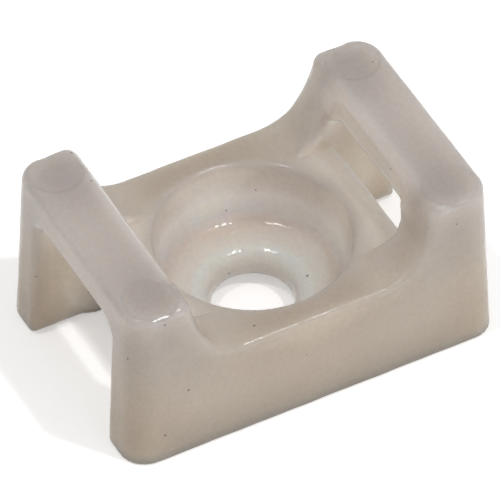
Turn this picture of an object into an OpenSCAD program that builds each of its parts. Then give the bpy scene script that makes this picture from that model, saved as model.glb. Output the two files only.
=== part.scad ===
// Screw-on cable tie mount, moulded in one piece.
// The tie lies along X, over the plate and under both end bars. The bundle lies
// along Y in the cradle between the bars, and one screw goes down the middle.
// The origin is on the base, at the axis of the screw hole, with +Z up.

/* [Body] */
// Length of the base, along the tie
base_length = 15; // [14:0.1:18]
// Width of the base, along the bundle
base_width = 9.8; // [9.4:0.1:12]
// Height from the base to the tops of the end bars
body_height = 7; // [6.6:0.1:8.4]
// Draft of the outer faces, in degrees
draft_angle = 2; // [0:0.1:3]
// Radius of the upright corners, at the base
corner_radius = 1; // [0.7:0.05:1.2]
// Radius of the edges round the tops of the end bars
edge_radius = 0.3; // [0.1:0.05:0.4]

/* [Cradle] */
// Height of the plate that the tie lies on
plate_height = 4.1; // [3.6:0.1:4.6]
// Distance between the inner faces of the end bars
bar_spacing = 9.64; // [9.2:0.02:9.8]
// Radius of the curved seats at the ends of the plate
cradle_radius = 5; // [4.95:0.05:6]
// Height where the seats run out into the inner faces of the bars
seat_top = 6.25; // [6:0.05:6.3]
// Radius of the fillets between the plate and the seats
seat_fillet = 0.5; // [0.1:0.1:0.8]

/* [Tie passage] */
// Width of the passage between the side walls
passage_width = 5.5; // [4.6:0.1:5.9]
// Height of the passage between the plate and an end bar
passage_height = 1.45; // [0.9:0.05:1.6]
// Length of the plate, to the drops under the end bars
plate_length = 9.6; // [9:0.05:9.8]
// Rise of the middle's underside above the feet of the side walls
underside_rise = 0.5; // [0.2:0.05:0.6]

/* [Screw dish] */
// Diameter of the dish at the plate
dish_diameter = 7.3; // [6.8:0.05:7.6]
// Diameter of the screw's seat, at the foot of the dish's wall
seat_diameter = 6.6; // [5.8:0.05:6.7]
// Height of the seat at its outer edge
seat_height = 1.7; // [1.6:0.05:2.2]
// Fall of the seat from its outer edge to the screw hole
seat_fall = 0.3; // [0.1:0.05:0.5]
// Diameter of the screw hole
hole_diameter = 3; // [2.4:0.05:3.4]
// Radius of the edges round the dish and the hole
dish_edge_radius = 0.15; // [0.05:0.01:0.18]
// Radius of the fillet between the seat and the dish's wall
dish_fillet = 0.35; // [0.1:0.05:0.5]

/* [Ejector marks] */
// Diameter of the round marks that the ejector pins leave on the bars
mark_diameter = 2; // [1.5:0.05:2.2]
// Distance of a mark's centre from the end of its bar
mark_margin = 1.05; // [0.9:0.05:1.6]
// Depth of the marks
mark_depth = 0.05; // [0.02:0.01:0.12]

/* [Hidden] */
nylon = [0.7, 0.66, 0.62];
// How far a cutter runs past the surface that it cuts
past = 1;
$fn = 96;

// Height where the rounding of a bar's top edge starts
shoulder_z = body_height - edge_radius;
// Height of the axis of the curved seats
cradle_axis_z = seat_top + sqrt(pow(cradle_radius, 2) - pow(bar_spacing / 2, 2));

// Horizontal inset of a drafted face at height z
function inset(z) = z * tan(draft_angle);
function unit(v) = v / norm(v);

// Sliver between a corner, with faces along a and b, and its rounding
module corner_sliver(corner, a, b, radius) {
    half_angle = acos(unit(a) * unit(b)) / 2;
    reach = radius / tan(half_angle);
    centre = corner + unit(unit(a) + unit(b)) * radius / sin(half_angle);
    difference() {
        polygon([corner, corner + reach * unit(a), centre, corner + reach * unit(b)]);
        translate(centre)
            circle(r = radius);
    }
}

// One half of an upright section: a drafted side that stands at x = foot on
// the base, with its top edge rounded, closed along x = 0
module half_section(foot) {
    round_x = foot - inset(shoulder_z) - edge_radius / cos(draft_angle);
    tangent = edge_radius * [cos(draft_angle), sin(draft_angle)];
    polygon([
        [0, 0],
        [foot, 0],
        [round_x, shoulder_z] + tangent,
        [round_x, body_height],
        [0, body_height]
    ]);
    translate([round_x, shoulder_z])
        circle(r = edge_radius);
}

module full_section(foot) {
    half_section(foot);
    mirror([1, 0])
        half_section(foot);
}

// Block with drafted sides, round upright corners and a rounded top edge
module moulded_block() {
    straight_x = base_length / 2 - corner_radius;
    straight_y = base_width / 2 - corner_radius;
    rotate([90, 0, 0])
        linear_extrude(2 * straight_y, center = true)
            full_section(base_length / 2);
    rotate([90, 0, 90])
        linear_extrude(2 * straight_x, center = true)
            full_section(base_width / 2);
    for (mx = [0, 1], my = [0, 1])
        mirror([mx, 0, 0])
            mirror([0, my, 0])
                translate([straight_x, straight_y, 0])
                    rotate_extrude(angle = 90)
                        half_section(corner_radius);
}

// Solid between the plate, a seat and the fillet that joins them, in section
module seat_fillet_section() {
    drop = cradle_axis_z - plate_height - seat_fillet;
    centre = [sqrt(pow(cradle_radius - seat_fillet, 2) - pow(drop, 2)), plate_height + seat_fillet];
    axis = [0, cradle_axis_z];
    difference() {
        polygon([
            centre,
            [centre.x, plate_height - past],
            [cradle_radius, plate_height - past],
            axis + (cradle_radius + past) * unit(centre - axis)
        ]);
        translate(centre)
            circle(r = seat_fillet);
    }
}

// Space for the bundle, right across the part: the curved seats, cut off by
// the flat plate and by the inner faces of the bars
module cradle() {
    bar_edge = [bar_spacing / 2, body_height];
    rotate([90, 0, 0])
        linear_extrude(base_width + 2 * past, center = true) {
            difference() {
                intersection() {
                    translate([0, cradle_axis_z])
                        circle(r = cradle_radius);
                    translate([-bar_spacing / 2, plate_height])
                        square([bar_spacing, body_height]);
                }
                for (side = [0, 1])
                    mirror([side, 0])
                        seat_fillet_section();
            }
            for (side = [0, 1])
                mirror([side, 0])
                    corner_sliver(bar_edge, [0, -1], [1, 0], edge_radius);
        }
}

// Space for the tie: over the plate, under both bars and down at each end,
// with a shallow relief under the middle, so that the side walls are the feet
module tie_passage() {
    rotate([90, 0, 0])
        linear_extrude(passage_width, center = true) {
            translate([-bar_spacing / 2, plate_height])
                square([bar_spacing, body_height]);
            translate([-base_length / 2 - past, plate_height])
                square([base_length + 2 * past, passage_height]);
            translate([-base_length / 2 - past, -past])
                square([base_length + 2 * past, underside_rise + past]);
            for (side = [0, 1])
                mirror([side, 0])
                    translate([plate_length / 2, 0])
                        square([base_length, plate_height + passage_height]);
        }
}

// Dish for the screw's head, with a seat that falls a little to the hole
module screw_dish() {
    rim = [dish_diameter / 2, plate_height];
    seat = [seat_diameter / 2, seat_height];
    throat = [hole_diameter / 2, seat_height - seat_fall];
    rotate_extrude() {
        difference() {
            polygon([
                [0, -past],
                [throat.x, -past],
                throat,
                seat,
                rim,
                [rim.x, body_height + past],
                [0, body_height + past]
            ]);
            corner_sliver(seat, throat - seat, rim - seat, dish_fillet);
        }
        corner_sliver(rim, seat - rim, [1, 0], dish_edge_radius);
        corner_sliver(throat, seat - throat, [0, -1], dish_edge_radius);
    }
}

// Round marks that the ejector pins leave near the ends of both bars
module ejector_marks() {
    bar_outer = base_length / 2 - inset(body_height);
    mark_x = (bar_outer + bar_spacing / 2) / 2;
    mark_y = base_width / 2 - inset(body_height) - mark_margin;
    for (sx = [-1, 1], sy = [-1, 1])
        translate([sx * mark_x, sy * mark_y, body_height - mark_depth])
            cylinder(d = mark_diameter, h = past);
}

module tie_mount() {
    color(nylon)
        difference() {
            moulded_block();
            cradle();
            tie_passage();
            screw_dish();
            ejector_marks();
        }
}

tie_mount();
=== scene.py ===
"""Looks for the cable tie mount: one piece moulded in natural nylon, on a pale floor."""

import math

import bpy
import numpy as np
from mathutils import Matrix, Vector


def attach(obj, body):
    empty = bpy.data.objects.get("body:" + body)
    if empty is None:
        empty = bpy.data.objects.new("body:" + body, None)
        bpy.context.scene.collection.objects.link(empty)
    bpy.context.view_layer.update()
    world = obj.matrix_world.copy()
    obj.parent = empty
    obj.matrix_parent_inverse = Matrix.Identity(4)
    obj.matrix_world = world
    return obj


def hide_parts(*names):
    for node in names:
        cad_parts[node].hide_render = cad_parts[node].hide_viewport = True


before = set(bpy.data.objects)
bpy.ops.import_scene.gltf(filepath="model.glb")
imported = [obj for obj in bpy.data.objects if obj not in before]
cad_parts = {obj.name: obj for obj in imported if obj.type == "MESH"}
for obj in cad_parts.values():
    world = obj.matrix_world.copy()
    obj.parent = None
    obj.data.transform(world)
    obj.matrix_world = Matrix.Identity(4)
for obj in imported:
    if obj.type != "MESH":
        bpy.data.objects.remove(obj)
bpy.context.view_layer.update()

# Sizes in mm, as in the CAD source; z is up from the base
LENGTH = 15.0
WIDTH = 9.8
HEIGHT = 7.0
DRAFT = math.radians(2)
CORNER = 1.0
PLATE = 4.1
BAR_SPACING = 9.64
CRADLE_R = 5.0
SEAT_TOP = 6.25
CRADLE_Z = SEAT_TOP + math.sqrt(CRADLE_R**2 - (BAR_SPACING / 2) ** 2)
PASSAGE_W = 5.5
PASSAGE_H = 1.45
PLATE_LENGTH = 9.6
UNDERSIDE = 0.5
RIM_R = 3.65
SEAT_R = 3.3
SEAT_Z = 1.7
SEAT_FALL = 0.3
HOLE_R = 1.5
MARK_R = 1.0
MARK_MARGIN = 1.05
MARK_X = (LENGTH / 2 - HEIGHT * math.tan(DRAFT) + BAR_SPACING / 2) / 2
MARK_Y = WIDTH / 2 - HEIGHT * math.tan(DRAFT) - MARK_MARGIN
MARK_DEPTH = 0.05

# Radii of rounded edges and filleted corners in mm, some softer than in the source
BASE_EDGE = 0.08
TOP_EDGE = 0.32
SEAT_FILLET = 0.5
BAR_LOWER_EDGE = 0.1
PLATE_END_EDGE = 0.12
PASSAGE_FILLET = 0.05
PLATE_SIDE_EDGE = 0.24
RIM_EDGE = 0.15
DISH_FILLET = 0.35
HOLE_EDGE = 0.65
MOUTH_EDGE = 0.45

# Width of the slope round an ejector mark, and how far the whole surface is drawn in, in mm
MARK_SLOPE = 0.08
DRAWN_IN = 0.01

# Nylon colours, linear RGB, by height: painted shade makes the foot warmer and darker, and
# painted light from overhead makes the top greyer
FOOT = np.array([0.43, 0.35, 0.27])
MIDDLE = np.array([0.465, 0.403, 0.334])
TOP = np.array([0.452, 0.419, 0.4])
STOPS = (0, 0.45, 1)

# Colours painted in the dish for how light falls on its wall and its floor, and the lightest
# colour that the nylon takes anywhere, painted light included
DISH_WALL = np.array([0.445, 0.42, 0.412])
DISH_FLOOR = np.array([0.476, 0.395, 0.343])
PALEST = np.array([0.90, 0.84, 0.77])

# How far light spreads in the nylon, and how far from a surface its surroundings are judged
LIGHT_BLUR = 1.3
LIGHT_REACH = 1.6

# Share of solid in front of a surface that starts a hollow, and the most that is counted
HOLLOW_START = 0.05
HOLLOW_MOST = 0.14

# Share of solid behind a surface below which the wall is thin
THIN_BELOW = 0.42

# Painted light: how much hollows, the dish's floor, thin walls and the bars' inner faces are
# lightened, for light that gathers in the nylon
HOLLOW_PAINTED_PALING = 3.3
HOLLOW_GAIN = 1.5
FLOOR_GAIN = 3.1
THIN_GAIN = 1.0
FACE_GAIN = 0.27

# Width in mm and strength of the painted shade line round an ejector mark, along its rim
MARK_LINE = 0.09
MARK_SHADE = 0.09

# Edge length of a cell of the sampling grid, in mm
CELL = 0.1


def cut(radius, *fields):
    """Shared inside of several fields, with the edges between them rounded."""
    top = fields[0]
    squares = np.maximum(fields[0] + radius, 0) ** 2
    for field in fields[1:]:
        top = np.maximum(top, field)
        squares = squares + np.maximum(field + radius, 0) ** 2
    return np.minimum(top, -radius) + np.sqrt(squares)


def join(radius, *fields):
    """Union of several fields, with the corners between them filleted."""
    return -cut(radius, *[-field for field in fields])


def ramp(distance, width):
    """0 at no distance and below, 1 from the width up, and straight between."""
    return np.clip(distance / width, 0, 1)


def lumps(x, y, z):
    """Soft unevenness of a moulded surface, between about -1 and 1."""
    first = np.sin(1.9 * x + 1.3 * y + 0.7 * z) * np.sin(1.1 * y - 1.7 * z + 0.4 * x)
    second = np.sin(4.3 * x - 2.9 * y + 1.3) * np.sin(3.7 * z + 3.1 * y + 0.6)
    return 0.65 * first + 0.35 * second


def off_mark(x, y):
    """Distance from the edge of the nearest ejector mark, negative on the mark."""
    return np.hypot(np.abs(x) - MARK_X, np.abs(y) - MARK_Y) - MARK_R


def block(x, y, z):
    """Drafted block with round upright corners, a rounded top edge and the ejector marks."""
    side = np.abs(x) - LENGTH / 2 + z * math.tan(DRAFT)
    end = np.abs(y) - WIDTH / 2 + z * math.tan(DRAFT)
    walls = cut(CORNER, side * math.cos(DRAFT), end * math.cos(DRAFT))
    sunk = MARK_DEPTH * np.clip(0.5 - off_mark(x, y) / MARK_SLOPE, 0, 1)
    top = z - HEIGHT + sunk
    return cut(BASE_EDGE, cut(TOP_EDGE, walls, top), -z)


def cradle(x, y, z):
    """Space for the bundle between the bars."""
    seat = np.hypot(x, z - CRADLE_Z) - CRADLE_R
    bars = np.abs(x) - BAR_SPACING / 2
    return cut(SEAT_FILLET, cut(SEAT_FILLET, seat, bars), PLATE - z)


def passage(x, y, z):
    """Space for the tie: over the plate, under the bars, down at the ends."""
    sides = np.abs(y) - PASSAGE_W / 2
    over = join(BAR_LOWER_EDGE, z - PLATE - PASSAGE_H, np.abs(x) - BAR_SPACING / 2)
    under = join(PLATE_END_EDGE, PLATE - z, PLATE_LENGTH / 2 - np.abs(x), z - UNDERSIDE)
    # The corners along the side walls are rounder towards the bars
    corner = 0.1 + 0.6 * ramp(z - PLATE, PASSAGE_H)
    return cut(corner, cut(PASSAGE_FILLET, over, under), sides)


def dish(x, y, z):
    """Space for the screw's head, and the screw hole under it."""
    r = np.hypot(x, y)
    lean = (RIM_R - SEAT_R) / (PLATE - SEAT_Z)
    wall = (r - SEAT_R - (z - SEAT_Z) * lean) / math.hypot(1, lean)
    fall = SEAT_FALL / (SEAT_R - HOLE_R)
    seat = (SEAT_Z - (SEAT_R - r) * fall - z) / math.hypot(1, fall)
    return join(HOLE_EDGE, cut(DISH_FILLET, wall, seat), r - HOLE_R)


def body(x, y, z):
    """Signed distance to the moulding's surface, in mm, negative inside."""
    # The edges beside the cradle are sharper along the plate, rounder up at the bars
    cradle_edge = PLATE_SIDE_EDGE + 0.5 * ramp(z - 5, 1.6)
    shape = cut(cradle_edge, block(x, y, z), -cradle(x, y, z))
    # The passage shares the plate's top and the bars' faces with the cradle: no round there
    past_bar = np.abs(x) - BAR_SPACING / 2
    clear = np.maximum(np.minimum(past_bar, 0.7), 1.3 * np.minimum(z - PLATE, -past_bar))
    shape = cut(MOUTH_EDGE * np.clip(clear / 0.7, 0.03, 1.4), shape, -passage(x, y, z))
    shape = cut(RIM_EDGE, shape, -dish(x, y, z))
    return shape + DRAWN_IN * (1 + lumps(x, y, z))


def gradient(field, points, step=0.004):
    """Slope of a field at some points."""
    slopes = []
    for axis in range(3):
        shift = np.zeros(3)
        shift[axis] = step
        ahead = field(*(points + shift).T)
        behind = field(*(points - shift).T)
        slopes.append((ahead - behind) / (2 * step))
    return np.stack(slopes, 1)


def surface(field, low, high, cell):
    """Quads over the zero level of a field, one vertex to a cell that it crosses."""
    counts = np.ceil((np.array(high) - low) / cell).astype(int) + 1
    axes = [low[i] + cell * np.arange(counts[i]) for i in range(3)]
    grid = np.meshgrid(*axes, indexing="ij")
    values = field(*grid)
    inside = values < 0
    cells = np.array(values.shape) - 1
    corners = [
        inside[i : i + cells[0], j : j + cells[1], k : k + cells[2]]
        for i in (0, 1)
        for j in (0, 1)
        for k in (0, 1)
    ]
    filled = sum(corner.astype(np.int8) for corner in corners)
    crossed = (filled > 0) & (filled < 8)
    number = np.full(crossed.shape, -1)
    number[crossed] = np.arange(crossed.sum())
    total = np.zeros((crossed.sum(), 3))
    hits = np.zeros(crossed.sum())
    faces = []
    for axis in range(3):
        # Each grid edge along this axis that crosses the surface makes one quad
        first = [slice(None)] * 3
        second = [slice(None)] * 3
        first[axis] = slice(0, -1)
        second[axis] = slice(1, None)
        a = values[tuple(first)]
        b = values[tuple(second)]
        found = np.argwhere((a < 0) != (b < 0))
        va = a[tuple(found.T)]
        vb = b[tuple(found.T)]
        place = found.astype(float)
        place[:, axis] += va / (va - vb)
        place = np.array(low) + cell * place
        u = (axis + 1) % 3
        v = (axis + 2) % 3
        ring = []
        for du, dv in ((-1, -1), (0, -1), (0, 0), (-1, 0)):
            at = found.copy()
            at[:, u] += du
            at[:, v] += dv
            ring.append(number[tuple(at.T)])
        ring = np.stack(ring, 1)
        for column in range(4):
            np.add.at(total, ring[:, column], place)
            np.add.at(hits, ring[:, column], 1)
        flip = va > vb
        ring[flip] = ring[flip][:, ::-1]
        faces.append(ring)
    points = total / hits[:, None]
    # Three Newton steps, each at most 0.4 of a cell, bring the vertices onto the surface
    for _ in range(3):
        slope = gradient(field, points)
        steep = np.maximum((slope**2).sum(1), 0.25)
        move = slope * (field(*points.T) / steep)[:, None]
        length = np.linalg.norm(move, axis=1, keepdims=True)
        points = points - move * np.minimum(1, 0.4 * cell / np.maximum(length, 1e-9))
    return points, np.concatenate(faces)


def blurred_solid(field, sigma):
    """Share of solid round any point, blurred over sigma mm, as a function of points."""
    cell = 0.2
    margin = 4.0
    low = np.array([-LENGTH / 2, -WIDTH / 2, 0]) - margin
    counts = np.ceil((np.array([LENGTH, WIDTH, HEIGHT]) + 2 * margin) / cell).astype(int)
    axes = [low[i] + cell * np.arange(counts[i]) for i in range(3)]
    solid = np.clip(0.5 - field(*np.meshgrid(*axes, indexing="ij")) / cell, 0, 1)
    waves = [
        np.fft.fftfreq(counts[0], cell),
        np.fft.fftfreq(counts[1], cell),
        np.fft.rfftfreq(counts[2], cell),
    ]
    wx, wy, wz = np.meshgrid(*waves, indexing="ij")
    keep = np.exp(-2 * (math.pi * sigma) ** 2 * (wx**2 + wy**2 + wz**2))
    soft = np.fft.irfftn(np.fft.rfftn(solid) * keep, solid.shape)

    def look(points):
        at = (points - low) / cell
        base = np.floor(at).astype(int)
        part = at - base
        total = np.zeros(len(points))
        for corner in range(8):
            step = np.array([corner & 1, corner >> 1 & 1, corner >> 2 & 1])
            weight = np.prod(np.where(step, part, 1 - part), 1)
            total += weight * soft[tuple((base + step).T)]
        return total

    return look


def tone(points, normals):
    """Colour of the nylon at some points, linear RGB, with painted light and shade: painted
    shade makes the foot warmer and darker, painted light makes it lighter where it is thin
    and in hollows, where light from inside adds up."""
    x, y, z = points.T
    r = np.hypot(x, y)
    solid = blurred_solid(body, LIGHT_BLUR)
    thick = solid(points - LIGHT_REACH * normals)
    hollow = np.clip(solid(points + LIGHT_REACH * normals) - HOLLOW_START, 0, HOLLOW_MOST)
    in_dish = ramp(RIM_R + 0.3 - r, 0.6)
    # Painted light: outside the dish, hollows are paler in the windows than over the plate
    by_height = np.interp(z, (2, 4), (1.1, 0.83))
    hollow = hollow * (in_dish + (1 - in_dish) * by_height)
    # Painted light: the thin floor round the hole is pale as well, most of all its lip
    on_floor = in_dish * ramp(SEAT_Z + 0.35 - z, 0.45)
    on_lip = ramp(HOLE_R + 1.1 - r, 0.6)
    hollow = np.maximum(hollow, (0.1 + 0.08 * on_lip) * on_floor)
    # Painted shade at the foot and painted overhead light on top, by height
    base = np.stack([np.interp(z / HEIGHT, STOPS, hue) for hue in zip(FOOT, MIDDLE, TOP)], 1)
    # Painted light and shade in the dish: its own wall and floor colours
    base = base + (DISH_WALL - base) * in_dish[:, None]
    base = base + (DISH_FLOOR - base) * on_floor[:, None]
    # Painted light makes hollows paler, except on the dish's floor
    paler = base ** (1 - HOLLOW_PAINTED_PALING * hollow * (1 - on_floor))[:, None]
    # Painted light: lighter in hollows, most on the dish's floor, and where the walls are
    # thin
    lit = 1 + (HOLLOW_GAIN + FLOOR_GAIN * on_floor) * hollow
    lit = lit * (1 + THIN_GAIN * np.clip(THIN_BELOW - thick, 0, 1))
    # Painted light on the bars' inner faces, over the passage, lighter than the lamps make
    # them
    over_passage = ramp(z - PLATE - PASSAGE_H, 0.2)
    across = ramp(PASSAGE_W / 2 + 0.7 - np.abs(y), 0.7)
    inner_face = ramp(BAR_SPACING / 2 + 0.6 - np.abs(x), 0.5)
    lit = lit * (1 + FACE_GAIN * over_passage * across * inner_face)
    # Painted shade: a darker line along each ejector mark's rim
    on_top = z > HEIGHT - 0.3
    outline = np.clip(1 - np.abs(off_mark(x, y)) / MARK_LINE, 0, 1) * on_top
    return np.minimum(paler * (lit * (1 - MARK_SHADE * outline))[:, None], PALEST)


def moulding():
    """The moulded piece as a mesh in metres."""
    # The grid starts off the flat faces, so that none of its points lies on them
    low = np.array([-LENGTH / 2, -WIDTH / 2, 0]) - 1.37 * CELL
    high = np.array([LENGTH / 2, WIDTH / 2, HEIGHT]) + 1.5 * CELL
    points, faces = surface(body, low, high, CELL)
    mesh = bpy.data.meshes.new("tie_mount_moulding")
    mesh.from_pydata((points / 1000).tolist(), [], faces.tolist())
    mesh.update()
    mesh.shade_smooth()
    # A wide step for these slopes, so that the shallow marks don't tilt them
    normals = gradient(body, points, 0.3)
    normals /= np.linalg.norm(normals, axis=1, keepdims=True)
    # Each vertex gets the nylon's colour from tone(), painted light and shade included
    paint = np.ones((len(points), 4))
    paint[:, :3] = tone(points, normals)
    layer = mesh.color_attributes.new("tone", "FLOAT_COLOR", "POINT")
    layer.data.foreach_set("color", paint.ravel())
    piece = bpy.data.objects.new("moulding", mesh)
    bpy.context.scene.collection.objects.link(piece)
    return piece


def mottle(tree, place, scale, amount):
    """Brightness factor near 1 that varies softly over the nylon."""
    noise = tree.nodes.new("ShaderNodeTexNoise")
    noise.inputs["Scale"].default_value = scale
    noise.inputs["Detail"].default_value = 2
    tree.links.new(place, noise.inputs["Vector"])
    spread = tree.nodes.new("ShaderNodeMapRange")
    spread.inputs["From Min"].default_value = 0.25
    spread.inputs["From Max"].default_value = 0.75
    spread.inputs["To Min"].default_value = 1 - amount
    spread.inputs["To Max"].default_value = 1 + amount
    tree.links.new(noise.outputs["Fac"], spread.inputs["Value"])
    return spread.outputs["Result"]


def specks(tree, place):
    """Brightness factor that is 1 but for a few small dark specks."""
    cells = tree.nodes.new("ShaderNodeTexVoronoi")
    cells.inputs["Scale"].default_value = 1000
    tree.links.new(place, cells.inputs["Vector"])
    chance = tree.nodes.new("ShaderNodeSeparateColor")
    tree.links.new(cells.outputs["Color"], chance.inputs["Color"])
    size = tree.nodes.new("ShaderNodeMapRange")
    size.inputs["From Min"].default_value = 0.25
    size.inputs["From Max"].default_value = 1.0
    size.inputs["To Min"].default_value = 0.0
    size.inputs["To Max"].default_value = 0.065
    tree.links.new(chance.outputs["Red"], size.inputs["Value"])
    near = tree.nodes.new("ShaderNodeMath")
    near.operation = "LESS_THAN"
    tree.links.new(cells.outputs["Distance"], near.inputs[0])
    tree.links.new(size.outputs["Result"], near.inputs[1])
    shade = tree.nodes.new("ShaderNodeMapRange")
    shade.inputs["To Min"].default_value = 1.0
    shade.inputs["To Max"].default_value = 0.45
    tree.links.new(near.outputs[0], shade.inputs["Value"])
    return shade.outputs["Result"]


def nylon():
    """Natural unfilled nylon: milky, slightly translucent, satin."""
    material = bpy.data.materials.new("natural_nylon")
    material.use_nodes = True
    tree = material.node_tree
    shader = tree.nodes["Principled BSDF"]
    shader.inputs["Roughness"].default_value = 0.2
    shader.inputs["IOR"].default_value = 1.53
    shader.inputs["Subsurface Weight"].default_value = 1.0
    shader.inputs["Subsurface Radius"].default_value = (1.0, 0.86, 0.72)
    shader.inputs["Subsurface Scale"].default_value = 0.0035
    # The vertex colour holds the nylon's colour with its painted light and shade
    paint = tree.nodes.new("ShaderNodeVertexColor")
    paint.layer_name = "tone"
    place = tree.nodes.new("ShaderNodeTexCoord").outputs["Object"]
    cloudy = mottle(tree, place, scale=700, amount=0.02)
    grainy = mottle(tree, place, scale=5600, amount=0.04)
    specked = specks(tree, place)
    colour = paint.outputs["Color"]
    for share in (cloudy, grainy, specked):
        scale = tree.nodes.new("ShaderNodeVectorMath")
        scale.operation = "SCALE"
        tree.links.new(colour, scale.inputs[0])
        tree.links.new(share, scale.inputs["Scale"])
        colour = scale.outputs[0]
    tree.links.new(colour, shader.inputs["Base Color"])
    peel = tree.nodes.new("ShaderNodeTexNoise")
    peel.inputs["Scale"].default_value = 3600
    peel.inputs["Detail"].default_value = 2
    tree.links.new(place, peel.inputs["Vector"])
    bump = tree.nodes.new("ShaderNodeBump")
    bump.inputs["Strength"].default_value = 0.5
    bump.inputs["Distance"].default_value = 0.00004
    tree.links.new(peel.outputs["Fac"], bump.inputs["Height"])
    tree.links.new(bump.outputs["Normal"], shader.inputs["Normal"])
    return material


def seen_directly(node_tree):
    """1 for camera, glossy and transmission rays, else 0."""
    nodes = node_tree.nodes
    path = nodes.new("ShaderNodeLightPath")
    first = nodes.new("ShaderNodeMath")
    first.operation = "MAXIMUM"
    second = nodes.new("ShaderNodeMath")
    second.operation = "MAXIMUM"
    node_tree.links.new(path.outputs["Is Camera Ray"], first.inputs[0])
    node_tree.links.new(path.outputs["Is Glossy Ray"], first.inputs[1])
    node_tree.links.new(first.outputs[0], second.inputs[0])
    node_tree.links.new(path.outputs["Is Transmission Ray"], second.inputs[1])
    return second.outputs[0]


def floor_material():
    """White to the camera away from the object, with the object's soft shadow."""
    material = bpy.data.materials.new("pale_floor")
    material.use_nodes = True
    tree = material.node_tree
    shader = tree.nodes["Principled BSDF"]
    shader.inputs["Base Color"].default_value = (0.9, 0.9, 0.9, 1)
    shader.inputs["Roughness"].default_value = 0.9
    shader.inputs["Specular IOR Level"].default_value = 0.0
    glow = tree.nodes.new("ShaderNodeMath")
    glow.operation = "MULTIPLY"
    glow.inputs[1].default_value = 0.4
    tree.links.new(seen_directly(tree), glow.inputs[0])
    shader.inputs["Emission Color"].default_value = (1, 1, 1, 1)
    tree.links.new(glow.outputs[0], shader.inputs["Emission Strength"])
    return material


def lamp(name, size, power, azimuth, elevation):
    """Square lamp 0.25 m away that looks at the middle of the object. The azimuth is from
    the front, positive to the right."""
    data = bpy.data.lights.new(name, "AREA")
    data.size = size
    data.energy = power
    holder = bpy.data.objects.new(name, data)
    bpy.context.scene.collection.objects.link(holder)
    a = math.radians(azimuth)
    e = math.radians(elevation)
    back = Vector((math.sin(a) * math.cos(e), -math.cos(a) * math.cos(e), math.sin(e)))
    holder.location = Vector((0, 0, 0.003)) + back * 0.25
    holder.rotation_euler = back.to_track_quat("Z", "Y").to_euler()


def make_sky():
    """Soft light from all round, warm and bright at the horizon, greyer overhead."""
    world = bpy.data.worlds.new("studio")
    bpy.context.scene.world = world
    world.use_nodes = True
    tree = world.node_tree
    sky = tree.nodes["Background"]
    sky.inputs["Strength"].default_value = 0.53
    place = tree.nodes.new("ShaderNodeTexCoord")
    split = tree.nodes.new("ShaderNodeSeparateXYZ")
    shade = tree.nodes.new("ShaderNodeValToRGB")
    shade.color_ramp.elements[0].color = (1.0, 0.965, 0.92, 1)
    shade.color_ramp.elements[1].color = (0.68, 0.68, 0.69, 1)
    tree.links.new(place.outputs["Generated"], split.inputs[0])
    tree.links.new(split.outputs["Z"], shade.inputs["Fac"])
    tree.links.new(shade.outputs["Color"], sky.inputs["Color"])


def make_camera():
    """Long lens, 28 degrees to the left of the front and 45 degrees up."""
    azimuth = math.radians(28.114)
    elevation = math.radians(45.474)
    roll = math.radians(-0.209)
    distance = 0.3531
    back = Vector(
        (
            -math.sin(azimuth) * math.cos(elevation),
            -math.cos(azimuth) * math.cos(elevation),
            math.sin(elevation),
        )
    )
    right = Vector((math.cos(azimuth), -math.sin(azimuth), 0))
    up = back.cross(right)
    target = -0.000097 * right + 0.000427 * up + Vector((0, 0, 0.002727))
    turned_right = math.cos(roll) * right + math.sin(roll) * up
    turned_up = -math.sin(roll) * right + math.cos(roll) * up
    data = bpy.data.cameras.new("camera")
    data.sensor_width = 36
    data.lens = 705.8
    data.clip_start = 0.01
    camera = bpy.data.objects.new("camera", data)
    bpy.context.scene.collection.objects.link(camera)
    place = target + distance * back
    camera.matrix_world = Matrix(
        (
            (turned_right.x, turned_up.x, back.x, place.x),
            (turned_right.y, turned_up.y, back.y, place.y),
            (turned_right.z, turned_up.z, back.z, place.z),
            (0, 0, 0, 1),
        )
    )
    bpy.context.scene.camera = camera


piece = moulding()
piece.data.materials.append(nylon())
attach(piece, "root")
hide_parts("tie_mount")

# The floor lies just under the feet, clear of the mesh
bpy.ops.mesh.primitive_plane_add(size=2, location=(0, 0, -0.00002))
floor = bpy.context.object
floor.name = "floor"
floor.data.materials.append(floor_material())

lamp("right_lamp", size=0.01, power=0.13, azimuth=38, elevation=66)
lamp("left_lamp", size=0.01, power=0.09, azimuth=-92, elevation=74)
lamp("front_lamp", size=0.2, power=0.11, azimuth=20, elevation=22)
make_sky()
make_camera()
bpy.context.scene.view_settings.view_transform = "Standard"
